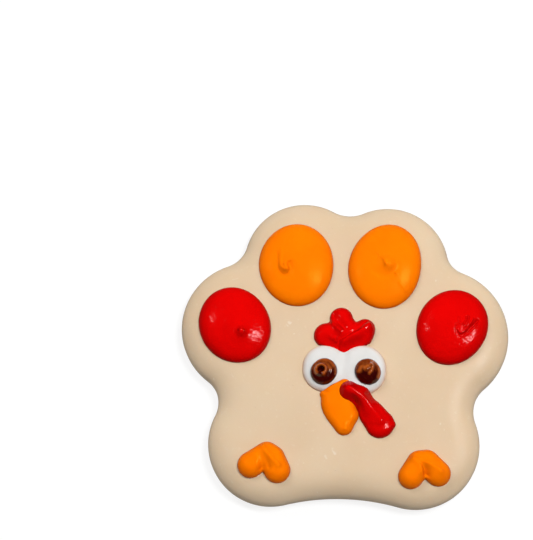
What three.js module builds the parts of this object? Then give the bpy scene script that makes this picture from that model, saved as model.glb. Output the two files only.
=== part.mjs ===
import * as THREE from 'three';

// A paw-shaped dog cookie: a baked biscuit in a smooth cream coating, with a bird's face and feet
// piped on it in icing and a large icing dot on each toe.
// Millimetres. +X is the face's right as it is looked at, +Y points to the toes and +Z comes up out
// of the decorated side. The origin is under the middle of the cookie, on the surface it lies on.

// The biscuit
const cookieThickness = 11.4;
const crownRise = 0.5;
const crownReach = 52;
const widestHeight = 3.4;
const edgeRoundingWidth = 9.4;
const edgeRoundness = 2.25;
const footprintInset = 1.1;

// The paw's outline, counterclockwise from the right toe: each lobe is part of a circle, and each
// notch between two lobes is an arc that curves the other way and meets both circles smoothly.
const pawLobes = [
  { x: 29.0, y: 5.5, radius: 21.4, notchRadius: 7.4 },
  { x: 13.5, y: 27.5, radius: 18.9, notchRadius: 10.3 },
  { x: -12.4, y: 29.1, radius: 18.7, notchRadius: 9.1 },
  { x: -29.6, y: 8.1, radius: 20.8, notchRadius: 8.7 },
  { x: -22.5, y: -27.9, radius: 19.1, notchRadius: 67.7 },
  { x: 21.3, y: -28.2, radius: 19.6, notchRadius: 9.9 },
];

// The icing: the gap to the surface under it and to a neighbour beside it, the height of the lip at
// its edge, and how far in, as a share of the piece, its underside begins.
const icingGap = 0.3;
const sideGap = 0.4;
const icingLip = 0.25;
const contactShare = 0.97;
const icingRoughness = 0.3;
const coatingRoughness = 0.5;
const red = 0xd0140c;
const orange = 0xf27a08;
const white = 0xe9e6df;
const brown = 0x3c1508;
const cream = 0xe3c7a1;

// A dot on each toe: an oval dome, with the small tip that the piping bag leaves as it lifts.
// across and along are the half sizes, turn the angle of the across axis, egg a slight unevenness.
const toeDots = [
  {
    name: 'dot_left', colour: red, x: -33.5, y: 7.6, across: 10.8, along: 12.2, turn: 30,
    egg: 0.004, eggTurn: 91, height: 3.0, tip: { x: -31.0, y: 5.2, height: 0.7, radius: 0.9 },
  },
  {
    name: 'dot_upper_left', colour: orange, x: -14.7, y: 26.6, across: 11.5, along: 13.1, turn: 4,
    egg: -0.009, eggTurn: -9, height: 3.1, tip: { x: -17.8, y: 25.1, height: 0.6, radius: 1.5 },
  },
  {
    name: 'dot_upper_right', colour: orange, x: 12.6, y: 26.0, across: 11.1, along: 13.6, turn: -13,
    egg: -0.014, eggTurn: 1, height: 3.1, tip: { x: 14.1, y: 25.3, height: 0.6, radius: 1.5 },
  },
  {
    name: 'dot_right', colour: red, x: 32.8, y: 6.9, across: 10.6, along: 12.1, turn: -30,
    egg: 0.007, eggTurn: 13, height: 3.0, tip: { x: 36.6, y: 5.6, height: 0.8, radius: 2.2 },
  },
];
const dotRoundness = 2.5;
const strokeRoundness = 2;

// Piped pieces made of strokes. A stroke runs from one round end to another:
// [x, y, radius, x, y, radius]. melt is how far neighbouring strokes run into each other, height
// the thickness at the crown and shoulder the width over which the surface curves up to it.
const comb = {
  strokes: [
    [-5.7, 4.7, 3.8, -1.1, 1.7, 0.9],
    [-0.8, 9.6, 3.7, -1.0, 4.1, 4.2],
    [4.3, 4.8, 4.5, 0.5, 0.4, 1.4],
    [6.5, 6.7, 2.9, 1.5, 2.9, 2.4],
  ],
  melt: 1.5, middle: [0.2, 5.0], height: 2.9, shoulder: 3.9,
};
const wattle = {
  strokes: [
    [1.5, -13.0, 2.95, 4.9, -14.6, 2.65],
    [4.9, -14.6, 2.65, 8.5, -20.0, 3.6],
    [8.5, -20.0, 3.6, 10.6, -22.7, 4.35],
    [10.6, -22.7, 3.5, 14.5, -23.0, 0.4],
  ],
  melt: 1.6, middle: [5.6, -17.0], height: 3.6, shoulder: 3.4,
};
const beak = {
  strokes: [
    [-1.7, -16.4, 5.4, 1.0, -20.2, 3.3],
    [-2.8, -19.9, 2.9, -0.2, -23.5, 2.8],
    [-3.4, -13.6, 2.2, -0.2, -10.0, 0.8],
    [-3.2, -15.1, 2.3, -7.0, -13.5, 0.5],
  ],
  melt: 1.6, middle: [-4.2, -15.6], height: 2.9, shoulder: 3.4,
};
const eyeWhites = {
  strokes: [
    [-5.8, -5.7, 6.9, -5.9, -6.4, 6.8],
    [5.3, -6.2, 7.4, 5.3, -6.8, 7.4],
  ],
  melt: 2.5, middle: [-0.2, -5.0], height: 2.2, shoulder: 5.0,
};
const footLeft = {
  strokes: [
    [-28.1, -35.0, 4.3, -23.6, -33.3, 5.5],
    [-20.3, -36.4, 4.3, -20.9, -35.4, 4.6],
  ],
  melt: 2.0, middle: [-23.8, -33.6], height: 2.7, shoulder: 3.8,
};
const footRight = {
  strokes: [
    [19.4, -38.4, 4.0, 22.4, -34.8, 4.2],
    [27.9, -37.4, 4.0, 24.0, -34.5, 4.4],
  ],
  melt: 1.2, middle: [23.6, -35.0], height: 2.7, shoulder: 3.8,
};

// The pupils are small beads on the eye whites. The left one ended in an open ring, the right one
// in a peak that fell over.
const pupilLeft = {
  strokes: [[-5.7, -7.0, 3.5, -6.6, -7.7, 3.6]],
  melt: 1, middle: [-7.3, -6.9], height: 2.3, shoulder: 3.4,
  ring: { radius: 1.35, width: 0.75, height: 0.5, hollowRadius: 0.8, hollowDepth: 0.7 },
};
const pupilRight = {
  strokes: [[6.6, -6.9, 3.5, 7.3, -7.6, 3.5]],
  melt: 1, middle: [7.3, -6.3], height: 2.3, shoulder: 3.4,
  tip: { x: 7.3, y: -6.3, height: 0.9, radius: 1.5 },
};

const degree = Math.PI / 180;
const fullTurn = 2 * Math.PI;

function wrapAngle(angle) {
  return ((angle % fullTurn) + fullTurn) % fullTurn;
}

// A quarter of a superellipse: 0 at the edge, rising steeply, and level at 1.
function shoulderCurve(amount, roundness) {
  const inward = Math.min(Math.max(amount, 0), 1);
  return (1 - (1 - inward) ** roundness) ** (1 / roundness);
}

// The larger of two values, with the corner between them rounded off over the given width.
function softMax(a, b, width) {
  const share = Math.min(Math.max(0.5 + (0.5 * (a - b)) / width, 0), 1);
  return b + (a - b) * share + width * share * (1 - share);
}

// The centre of the arc that fills the notch between two neighbouring lobes.
function notchCentre(lobe, next) {
  const dx = next.x - lobe.x;
  const dy = next.y - lobe.y;
  const apart = Math.hypot(dx, dy);
  const reachA = lobe.radius + lobe.notchRadius;
  const reachB = next.radius + lobe.notchRadius;
  const along = (apart * apart + reachA * reachA - reachB * reachB) / (2 * apart);
  const out = Math.sqrt(reachA * reachA - along * along);
  return {
    x: lobe.x + (dx * along + dy * out) / apart,
    y: lobe.y + (dy * along - dx * out) / apart,
  };
}

// The outline as arcs in order. bulge is 1 on a lobe and -1 in a notch.
function outlineArcs(lobes) {
  const notches = lobes.map((lobe, i) => notchCentre(lobe, lobes[(i + 1) % lobes.length]));
  const arcs = [];
  lobes.forEach((lobe, i) => {
    const before = notches[(i + lobes.length - 1) % lobes.length];
    const after = notches[i];
    const next = lobes[(i + 1) % lobes.length];
    const start = Math.atan2(before.y - lobe.y, before.x - lobe.x);
    const end = Math.atan2(after.y - lobe.y, after.x - lobe.x);
    arcs.push({
      x: lobe.x, y: lobe.y, radius: lobe.radius, bulge: 1,
      start, sweep: wrapAngle(end - start),
    });
    const enter = Math.atan2(lobe.y - after.y, lobe.x - after.x);
    const leave = Math.atan2(next.y - after.y, next.x - after.x);
    arcs.push({
      x: after.x, y: after.y, radius: lobe.notchRadius, bulge: -1,
      start: enter, sweep: wrapAngle(enter - leave),
    });
  });
  return arcs;
}

const arcs = outlineArcs(pawLobes);

// How far a point inside the paw is from the outline.
function insetOf(x, y) {
  let nearest = Infinity;
  for (const arc of arcs) {
    const angle = Math.atan2(y - arc.y, x - arc.x);
    const turned = wrapAngle(arc.bulge * (angle - arc.start));
    if (turned <= arc.sweep) {
      const gap = Math.abs(Math.hypot(x - arc.x, y - arc.y) - arc.radius);
      nearest = Math.min(nearest, gap);
    }
  }
  return nearest;
}

// The height of the coating above a point of the plan.
function coatingTop(x, y) {
  const rounding = shoulderCurve(insetOf(x, y) / edgeRoundingWidth, edgeRoundness);
  const crown = crownRise * Math.max(0, 1 - (x * x + y * y) / (crownReach * crownReach));
  return widestHeight + (cookieThickness - crownRise - widestHeight) * rounding + crown * rounding;
}

// Points evenly along the outline, moved inwards by the inset.
function outlineRing(inset, pointsAround) {
  const total = arcs.reduce((sum, arc) => sum + arc.radius * arc.sweep, 0);
  const ring = [];
  for (const arc of arcs) {
    const steps = Math.max(3, Math.round((pointsAround * arc.radius * arc.sweep) / total));
    const radius = arc.radius - arc.bulge * inset;
    for (let i = 0; i < steps; i += 1) {
      const angle = arc.start + (arc.bulge * arc.sweep * i) / steps;
      ring.push([arc.x + radius * Math.cos(angle), arc.y + radius * Math.sin(angle)]);
    }
  }
  return ring;
}

// A closed body from rings of equal length, from the underside over the edge to the top, with a
// fan of triangles to a middle point at each end.
function shellGeometry(bottomMiddle, rings, topMiddle) {
  const around = rings[0].length;
  const points = [bottomMiddle, ...rings.flat(), topMiddle];
  const last = points.length - 1;
  const at = (ring, i) => 1 + ring * around + (i % around);
  const faces = [];
  for (let i = 0; i < around; i += 1) {
    faces.push(0, at(0, i + 1), at(0, i));
    faces.push(last, at(rings.length - 1, i), at(rings.length - 1, i + 1));
    for (let ring = 0; ring < rings.length - 1; ring += 1) {
      faces.push(at(ring, i), at(ring, i + 1), at(ring + 1, i + 1));
      faces.push(at(ring, i), at(ring + 1, i + 1), at(ring + 1, i));
    }
  }
  const geometry = new THREE.BufferGeometry();
  geometry.setAttribute('position', new THREE.Float32BufferAttribute(points.flat(), 3));
  geometry.setIndex(faces);
  geometry.computeVertexNormals();
  return geometry;
}

// The biscuit: a flat underside, a bulging wall and a top that rounds over wide and soft.
function biscuitGeometry() {
  const pointsAround = 96;
  const wall = [
    { inset: footprintInset, z: 0 },
    { inset: footprintInset * 0.35, z: widestHeight * 0.18 },
    { inset: footprintInset * 0.08, z: widestHeight * 0.5 },
    { inset: 0, z: widestHeight },
  ];
  const roundingSteps = [0.025, 0.09, 0.2, 0.36, 0.56, 0.78, 1];
  const innerScales = [0.8, 0.6, 0.4, 0.2];
  const rings = wall.map(({ inset, z }) => outlineRing(inset, pointsAround).map(([x, y]) => [x, y, z]));
  for (const step of roundingSteps) {
    const ring = outlineRing(step * edgeRoundingWidth, pointsAround);
    rings.push(ring.map(([x, y]) => [x, y, coatingTop(x, y)]));
  }
  const innermost = outlineRing(edgeRoundingWidth, pointsAround);
  for (const scale of innerScales) {
    rings.push(innermost.map(([x, y]) => [x * scale, y * scale, coatingTop(x * scale, y * scale)]));
  }
  return shellGeometry([0, 0, 0], rings, [0, 0, coatingTop(0, 0)]);
}

// How deep a point lies inside a piece made of strokes; below 0 it is outside.
function strokeDepth(piece, x, y) {
  let depth = -Infinity;
  for (const [x0, y0, radius0, x1, y1, radius1] of piece.strokes) {
    const dx = x1 - x0;
    const dy = y1 - y0;
    const along = ((x - x0) * dx + (y - y0) * dy) / (dx * dx + dy * dy);
    const share = Math.min(Math.max(along, 0), 1);
    const away = Math.hypot(x - x0 - share * dx, y - y0 - share * dy);
    const here = radius0 + share * (radius1 - radius0) - away;
    depth = depth === -Infinity ? here : softMax(here, depth, piece.melt);
  }
  return depth;
}

// The depth inside a piece where it stops short of the neighbours that were piped over its edge.
function trimmedDepth(piece, neighbours, x, y) {
  const edgeSteepness = 2;
  let depth = strokeDepth(piece, x, y);
  for (const neighbour of neighbours) {
    const clear = -strokeDepth(neighbour, x, y) - sideGap;
    depth = Math.min(depth, edgeSteepness * clear);
  }
  return depth;
}

function dotDepth(dot, x, y) {
  const angle = Math.atan2(y - dot.y, x - dot.x);
  const turned = angle - dot.turn * degree;
  const oval = 1 / Math.hypot(Math.cos(turned) / dot.across, Math.sin(turned) / dot.along);
  const edge = oval * (1 + dot.egg * Math.cos(3 * (angle - dot.eggTurn * degree)));
  return 1 - Math.hypot(x - dot.x, y - dot.y) / edge;
}

// A bump at a point, which dies away all round.
function bump(x, y, centreX, centreY, height, radius) {
  const away = Math.hypot(x - centreX, y - centreY) / radius;
  return height * Math.exp(-away * away);
}

function dotRise(dot, x, y) {
  const dome = dot.height * shoulderCurve(dotDepth(dot, x, y), dotRoundness);
  return dome + bump(x, y, dot.tip.x, dot.tip.y, dot.tip.height, dot.tip.radius);
}

function strokeRise(piece, depth, x, y) {
  let rise = piece.height * shoulderCurve(depth / piece.shoulder, strokeRoundness);
  if (piece.tip) {
    rise += bump(x, y, piece.tip.x, piece.tip.y, piece.tip.height, piece.tip.radius);
  }
  if (piece.ring) {
    const away = Math.hypot(x - piece.middle[0], y - piece.middle[1]);
    rise += bump(away, 0, piece.ring.radius, 0, piece.ring.height, piece.ring.width);
    rise -= bump(away, 0, 0, 0, piece.ring.hollowDepth, piece.ring.hollowRadius);
  }
  return rise;
}

// Where the edge of a piece lies on a ray from its middle: the outermost point that is inside.
function edgeDistance(depthAt, middle, angle) {
  const dx = Math.cos(angle);
  const dy = Math.sin(angle);
  const longest = 20;
  const stride = 0.1;
  let outside = longest;
  while (depthAt(middle[0] + (outside - stride) * dx, middle[1] + (outside - stride) * dy) <= 0) {
    outside -= stride;
  }
  let inside = outside - stride;
  for (let i = 0; i < 24; i += 1) {
    const half = (inside + outside) / 2;
    if (depthAt(middle[0] + half * dx, middle[1] + half * dy) > 0) {
      inside = half;
    } else {
      outside = half;
    }
  }
  return inside;
}

// The edge of a piece as points evenly spaced along it, as seen from its middle.
function edgeOffsets(depthAt, middle, pointsAround) {
  const rays = 360;
  const edge = [];
  for (let i = 0; i <= rays; i += 1) {
    const angle = (fullTurn * i) / rays;
    const distance = edgeDistance(depthAt, middle, angle);
    edge.push(new THREE.Vector2(distance * Math.cos(angle), distance * Math.sin(angle)));
  }
  const lengths = [0];
  for (let i = 1; i <= rays; i += 1) {
    lengths.push(lengths[i - 1] + edge[i].distanceTo(edge[i - 1]));
  }
  const offsets = [];
  let ray = 1;
  for (let i = 0; i < pointsAround; i += 1) {
    const wanted = (lengths[rays] * i) / pointsAround;
    while (lengths[ray] < wanted) {
      ray += 1;
    }
    const share = (wanted - lengths[ray - 1]) / (lengths[ray] - lengths[ray - 1]);
    offsets.push(edge[ray - 1].clone().lerp(edge[ray], share));
  }
  return offsets;
}

// A piece of icing: its underside follows the surface that it was piped on, and its top swells
// from a low lip at the edge to the crown.
function icingGeometry({ depthAt, riseAt, seatAt, middle, pointsAround }) {
  const offsets = edgeOffsets(depthAt, middle, pointsAround);
  const place = (offset, share) => [middle[0] + offset.x * share, middle[1] + offset.y * share];
  const underside = ([x, y]) => [x, y, seatAt(x, y) + icingGap];
  const surface = ([x, y]) => [x, y, seatAt(x, y) + icingGap + icingLip + riseAt(x, y)];
  const lip = ([x, y]) => [x, y, seatAt(x, y) + icingGap + icingLip];
  const undersideShares = [0.33, 0.66, contactShare];
  const surfaceShares = [0.96, 0.88, 0.76, 0.62, 0.46, 0.3, 0.15];
  const rings = [
    ...undersideShares.map((share) => offsets.map((offset) => underside(place(offset, share)))),
    offsets.map((offset) => lip(place(offset, 1))),
    ...surfaceShares.map((share) => offsets.map((offset) => surface(place(offset, share)))),
  ];
  return shellGeometry(underside(middle), rings, surface(middle));
}

function whitesTop(x, y) {
  const depth = strokeDepth(eyeWhites, x, y);
  return coatingTop(x, y) + icingGap + icingLip + strokeRise(eyeWhites, depth, x, y);
}

const dotPoints = 32;
const cookie = new THREE.Group();

function addPiece(name, colour, roughness, geometry) {
  const material = new THREE.MeshStandardMaterial({ color: colour, roughness, metalness: 0 });
  const mesh = new THREE.Mesh(geometry, material);
  mesh.name = name;
  cookie.add(mesh);
}

function addIcing(name, colour, pointsAround, piece, { neighbours = [], seatAt = coatingTop } = {}) {
  const depthAt = (x, y) => trimmedDepth(piece, neighbours, x, y);
  const riseAt = (x, y) => strokeRise(piece, depthAt(x, y), x, y);
  const geometry = icingGeometry({ depthAt, riseAt, seatAt, middle: piece.middle, pointsAround });
  addPiece(name, colour, icingRoughness, geometry);
}

function addDot(dot) {
  const depthAt = (x, y) => dotDepth(dot, x, y);
  const riseAt = (x, y) => dotRise(dot, x, y);
  const middle = [dot.tip.x, dot.tip.y];
  const geometry = icingGeometry({ depthAt, riseAt, seatAt: coatingTop, middle, pointsAround: dotPoints });
  addPiece(dot.name, dot.colour, icingRoughness, geometry);
}

addPiece('coated_biscuit', cream, coatingRoughness, biscuitGeometry());
toeDots.forEach(addDot);
addIcing('comb', red, 46, comb);
addIcing('eye_whites', white, 52, eyeWhites, { neighbours: [comb, beak, wattle] });
addIcing('pupil_left', brown, 24, pupilLeft, { seatAt: whitesTop });
addIcing('pupil_right', brown, 24, pupilRight, { seatAt: whitesTop });
addIcing('beak', orange, 38, beak, { neighbours: [wattle] });
addIcing('wattle', red, 38, wattle);
addIcing('foot_left', orange, 36, footLeft);
addIcing('foot_right', orange, 36, footRight);

export default cookie;
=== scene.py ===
import math
from functools import partial

import bmesh
import bpy
import numpy as np
from mathutils import Matrix, Vector


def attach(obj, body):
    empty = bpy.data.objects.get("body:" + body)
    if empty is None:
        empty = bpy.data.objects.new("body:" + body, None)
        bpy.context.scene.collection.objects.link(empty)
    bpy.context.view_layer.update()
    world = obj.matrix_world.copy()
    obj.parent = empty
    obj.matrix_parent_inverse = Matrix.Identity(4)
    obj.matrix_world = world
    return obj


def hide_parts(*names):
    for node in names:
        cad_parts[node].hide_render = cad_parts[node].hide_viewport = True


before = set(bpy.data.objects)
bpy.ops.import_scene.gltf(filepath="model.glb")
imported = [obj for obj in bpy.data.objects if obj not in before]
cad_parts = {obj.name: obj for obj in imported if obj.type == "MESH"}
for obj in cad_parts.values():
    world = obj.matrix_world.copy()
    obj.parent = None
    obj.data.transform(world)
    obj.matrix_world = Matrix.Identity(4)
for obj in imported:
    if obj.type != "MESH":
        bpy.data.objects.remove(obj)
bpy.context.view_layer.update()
print("frame loaded:", len(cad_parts), "nodes")

mm = 0.001          # the sizes of the cookie below are in millimetres
fullTurn = 2 * math.pi


# Curves shared by the coating and the icing

def shoulderCurve(amount, roundness):
    # 0 at an edge, rising steeply, level at 1
    inward = np.clip(amount, 0.0, 1.0)
    return (1 - (1 - inward) ** roundness) ** (1 / roundness)


def softMax(a, b, width):
    share = np.clip(0.5 + 0.5 * (a - b) / width, 0.0, 1.0)
    return b + (a - b) * share + width * share * (1 - share)


def softWaves(x, y, wavelength, seed, count=28):
    # gentle uneven swell of about unit size, the same on every run, from waves of 0.7 to 1.7
    # times the given length
    rng = np.random.default_rng(seed)
    total = np.zeros_like(np.asarray(x, float))
    for turn, stretch, phase in rng.random((count, 3)):
        pace = fullTurn / wavelength * (0.6 + 0.8 * stretch)
        along = x * math.cos(fullTurn * turn) + y * math.sin(fullTurn * turn)
        total = total + np.cos(pace * along + fullTurn * phase)
    return total / math.sqrt(count / 2)


def smoothStep(amount):
    inward = np.clip(amount, 0.0, 1.0)
    return inward * inward * (3 - 2 * inward)


def alongLine(x, y, start, end):
    # how far along a straight line a point is, as a share of it, and how far away from it
    (x0, y0), (x1, y1) = start, end
    dx, dy = x1 - x0, y1 - y0
    share = np.clip(((x - x0) * dx + (y - y0) * dy) / (dx * dx + dy * dy), 0.0, 1.0)
    return share, np.hypot(x - x0 - share * dx, y - y0 - share * dy)


def bentPath(path, steps=7):
    # a smooth line through the points
    points = np.array([path[0], *path, path[-1]], float)
    line = []
    for before, start, end, after in zip(points, points[1:], points[2:], points[3:]):
        for t in np.arange(steps) / steps:
            bend = (end - before) * t + (2 * before - 5 * start + 4 * end - after) * t ** 2
            bend = bend + (3 * start - before - 3 * end + after) * t ** 3
            line.append(start + 0.5 * bend)
    return np.array([*line, path[-1]])


def foldBump(x, y, path, leftWidth, rightWidth, height):
    # a ridge, or a crease where height is below 0, along a path: each side falls off by its own
    # width, and a pair of heights runs from the one to the other along it
    line = bentPath(path) if len(path) > 2 else np.array(path, float)
    first, last = height if isinstance(height, tuple) else (height, height)
    nearest = np.full(np.shape(x), np.inf)
    width = np.full(np.shape(x), float(leftWidth))
    along = np.zeros(np.shape(x))
    for i, ((x0, y0), (x1, y1)) in enumerate(zip(line[:-1], line[1:])):
        dx, dy = x1 - x0, y1 - y0
        share, away = alongLine(x, y, (x0, y0), (x1, y1))
        side = (dx * (y - y0) - dy * (x - x0)) / (math.hypot(dx, dy) * np.maximum(away, 1e-6))
        here = rightWidth + (leftWidth - rightWidth) * (0.5 + 0.5 * np.clip(side, -1.0, 1.0))
        closer = away < nearest
        width = np.where(closer, here, width)
        along = np.where(closer, (i + share) / (len(line) - 1), along)
        nearest = np.minimum(nearest, away)
    return (first + (last - first) * along) * np.exp(-(nearest / width) ** 2)


# The biscuit in its cream coating

biscuit = {
    "lobes": [                      # x, y, radius, and the radius of the notch that follows
        (29.0, 5.5, 21.4, 7.4),
        (13.5, 27.5, 18.9, 10.3),
        (-12.4, 29.1, 18.7, 9.1),
        (-29.6, 8.1, 20.8, 8.7),
        (-22.5, -27.9, 19.1, 67.7),
        (21.3, -28.2, 19.6, 9.9),
    ],
    "thickness": 11.4,
    "crownRise": 0.5,
    "crownReach": 52.0,
    "widestHeight": 3.4,
    "roundingWidth": 9.4,
    "roundness": 2.25,
    "footprintInset": 1.1,
    "undersideSteps": (2.0, 0.25),  # how far inside the footprint the flat underside has its rings
    "wall": [                       # the foot and the bulging wall: share of that inset, height
        (1.0, 0.08), (0.72, 0.28), (0.62, 0.50), (0.42, 0.85), (0.22, 1.4), (0.08, 2.1), (0.01, 2.8),
    ],
    "swell": 0.10,                  # how far the poured coating is uneven
    "swellWavelength": 21.0,
    "pointsAround": 560,
    "roundingRings": 34,
    "innerRings": 44,
    "seed": 7,
    "trim": 0.07,                   # the facets of the solid lie this far inside the true arcs
}


def pawArcs(lobes):
    # every lobe and notch as x, y, radius, bulge, start angle, sweep
    centres = []
    for i, (x, y, radius, notch) in enumerate(lobes):
        nextX, nextY, nextRadius, _ = lobes[(i + 1) % len(lobes)]
        dx, dy = nextX - x, nextY - y
        apart = math.hypot(dx, dy)
        reachA, reachB = radius + notch, nextRadius + notch
        along = (apart ** 2 + reachA ** 2 - reachB ** 2) / (2 * apart)
        out = math.sqrt(reachA ** 2 - along ** 2)
        centres.append((x + (dx * along + dy * out) / apart, y + (dy * along - dx * out) / apart))
    arcs = []
    for i, (x, y, radius, notch) in enumerate(lobes):
        beforeX, beforeY = centres[i - 1]
        afterX, afterY = centres[i]
        nextX, nextY = lobes[(i + 1) % len(lobes)][:2]
        start = math.atan2(beforeY - y, beforeX - x)
        end = math.atan2(afterY - y, afterX - x)
        arcs.append((x, y, radius, 1, start, (end - start) % fullTurn))
        enter = math.atan2(y - afterY, x - afterX)
        leave = math.atan2(nextY - afterY, nextX - afterX)
        arcs.append((afterX, afterY, notch, -1, enter, (enter - leave) % fullTurn))
    return arcs


outlineArcs = pawArcs(biscuit["lobes"])


def insetOf(x, y):
    # how far inside the paw's outline a point is
    nearest = np.full(np.shape(x), np.inf)
    for arcX, arcY, radius, bulge, start, sweep in outlineArcs:
        turned = (bulge * (np.arctan2(y - arcY, x - arcX) - start)) % fullTurn
        away = np.abs(np.hypot(x - arcX, y - arcY) - radius)
        nearest = np.where(turned <= sweep, np.minimum(nearest, away), nearest)
    return nearest


def coatingTop(x, y):
    b = biscuit
    rounding = shoulderCurve(insetOf(x, y) / b["roundingWidth"], b["roundness"])
    crown = b["crownRise"] * np.maximum(0, 1 - (x * x + y * y) / b["crownReach"] ** 2)
    swell = b["swell"] * softWaves(x, y, b["swellWavelength"], b["seed"])
    body = b["thickness"] - b["crownRise"] - b["widestHeight"]
    return b["widestHeight"] + (body + crown + swell - b["swell"]) * rounding


def outlineRing(inset, pointsAround):
    total = sum(arc[2] * arc[5] for arc in outlineArcs)
    ring = []
    for x, y, radius, bulge, start, sweep in outlineArcs:
        steps = max(6, round(pointsAround * radius * sweep / total))
        angles = start + bulge * sweep * np.arange(steps) / steps
        reach = radius - bulge * (inset + biscuit["trim"])
        ring.append(np.stack([x + reach * np.cos(angles), y + reach * np.sin(angles)], 1))
    return np.concatenate(ring)


def addObject(name, data):
    thing = bpy.data.objects.new(name, data)
    bpy.context.scene.collection.objects.link(thing)
    return thing


def shellObject(name, rings, bottomMiddle, topMiddle):
    # a closed skin from rings of equal length, from the underside over the edge to the top
    rings = np.asarray(rings, float)
    ringCount, around = rings.shape[:2]
    points = np.concatenate([[bottomMiddle], rings.reshape(-1, 3), [topMiddle]]) * mm
    column = np.arange(around)
    nextColumn = (column + 1) % around
    faces = [(0, 1 + b, 1 + a) for a, b in zip(column, nextColumn)]
    for ring in range(ringCount - 1):
        low, high = 1 + ring * around, 1 + (ring + 1) * around
        faces += [(low + a, low + b, high + b, high + a) for a, b in zip(column, nextColumn)]
    last = 1 + (ringCount - 1) * around
    faces += [(last + a, last + b, len(points) - 1) for a, b in zip(column, nextColumn)]
    mesh = bpy.data.meshes.new(name)
    mesh.from_pydata(points.tolist(), [], [tuple(int(i) for i in face) for face in faces])
    mesh.shade_smooth()
    return addObject(name, mesh)


def makeCoating():
    b = biscuit
    around = b["pointsAround"]
    wall = [(b["footprintInset"] + step, 0.0) for step in b["undersideSteps"]]
    wall += [(b["footprintInset"] * share, height) for share, height in b["wall"]]
    rings = []
    for inset, height in wall:
        ring = outlineRing(inset, around)
        rings.append(np.column_stack([ring, np.full(len(ring), height)]))
    topRings = []
    for step in range(b["roundingRings"] + 1):
        inset = b["roundingWidth"] * (1 - math.cos(0.5 * math.pi * step / b["roundingRings"]))
        topRings.append(outlineRing(inset, around))
    inner = outlineRing(b["roundingWidth"], around)
    topRings += [inner * (1 - step / b["innerRings"]) for step in range(1, b["innerRings"])]
    rings += [np.column_stack([ring, coatingTop(*ring.T)]) for ring in topRings]
    crown = float(coatingTop(np.zeros(1), np.zeros(1))[0])
    return shellObject("cream_coating", rings, (0, 0, 0), (0, 0, crown))


coating = makeCoating()
print("coating made:", len(coating.data.polygons), "faces")


# Icing piped in strokes. A stroke is x, y, radius at one end and x, y, radius at the other. A fold
# is its path, its widths to the left and to the right, and its height or first and last height.

icing = {
    "sink": 0.06,
    "roundness": 2.0,
    "fade": 1.3,                    # folds come in over this width from the edge
    "waverLength": 5.0,
    "tuckSoftness": 0.6, "tuckReach": 1.5,
    "dropSlope": 2.0, "dropDepth": 2.0,      # how its height field falls away outside the edge
    "undersideShares": (0.33, 0.66, 0.985), "pointsAround": 240, "topRings": 72,
}
calmed = {"reach": 13.0, "step": 0.12, "blend": 2.2}   # the grid on which the depths are calmed
edgeSearch = {"angles": 721, "farthest": 24, "step": 0.1, "halvings": 20}


def singleDepth(stroke, x, y):
    x0, y0, radius0, x1, y1, radius1 = stroke
    share, away = alongLine(x, y, (x0, y0), (x1, y1))
    return radius0 + share * (radius1 - radius0) - away


def strokeDepth(piece, x, y):
    depth = None
    for stroke in piece["strokes"]:
        here = singleDepth(stroke, x, y)
        depth = here if depth is None else softMax(here, depth, piece["melt"])
    return depth


def calmGrid(piece):
    # the depths with the seams between strokes smoothed out, worked out once for each piece
    if "calmGrid" not in piece:
        count = round(2 * calmed["reach"] / calmed["step"]) + 1
        spread = np.linspace(-calmed["reach"], calmed["reach"], count)
        x, y = np.meshgrid(piece["middle"][0] + spread, piece["middle"][1] + spread, indexing="ij")
        grid = strokeDepth(piece, x, y)
        width = piece["calm"] / calmed["step"]
        offsets = np.arange(-round(3 * width), round(3 * width) + 1)
        weights = np.exp(-0.5 * (offsets / width) ** 2)
        weights = weights / weights.sum()
        for axis in (0, 1):
            grid = sum(w * np.roll(grid, offset, axis) for w, offset in zip(weights, offsets))
        piece["calmGrid"] = grid
    return piece["calmGrid"]


def calmDepth(piece, x, y):
    grid = calmGrid(piece)
    last = len(grid) - 2
    along = np.clip((x - piece["middle"][0] + calmed["reach"]) / calmed["step"], 0, last + 0.999)
    up = np.clip((y - piece["middle"][1] + calmed["reach"]) / calmed["step"], 0, last + 0.999)
    i, j = along.astype(int), up.astype(int)
    a, b = along - i, up - j
    low = grid[i, j] * (1 - a) + grid[i + 1, j] * a
    high = grid[i, j + 1] * (1 - a) + grid[i + 1, j + 1] * a
    return low * (1 - b) + high * b


def strokeRise(piece, x, y):
    depth = strokeDepth(piece, x, y)
    inner = depth
    if "calm" in piece:
        share = smoothStep(depth / (calmed["blend"] * piece["calm"]))
        inner = depth + share * (calmDepth(piece, x, y) - depth)
    roundness = piece.get("roundness", icing["roundness"])
    rise = piece["height"] * shoulderCurve(inner / piece["shoulder"], roundness)
    if "tucked" in piece:
        # thinned down to where another piece of icing lies over it
        over, edgeHeight, slope = piece["tucked"]
        limit = edgeHeight + slope * np.maximum(-strokeDepth(over, x, y), -icing["tuckReach"])
        rise = -softMax(-rise, -limit, icing["tuckSoftness"])
    fade = smoothStep(depth / icing["fade"])
    for path, leftWidth, rightWidth, height in piece.get("folds", ()):
        rise = rise + foldBump(x, y, path, leftWidth, rightWidth, height) * fade
    for ringX, ringY, radius, width, height in piece.get("rings", ()):
        away = np.hypot(x - ringX, y - ringY)
        rise = rise + height * np.exp(-((away - radius) / width) ** 2) * fade
    if "waver" in piece:
        rise = rise + piece["waver"] * softWaves(x, y, icing["waverLength"], piece["seed"]) * fade
    return np.where(depth > 0, rise, np.maximum(icing["dropSlope"] * depth, -icing["dropDepth"]))


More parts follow.
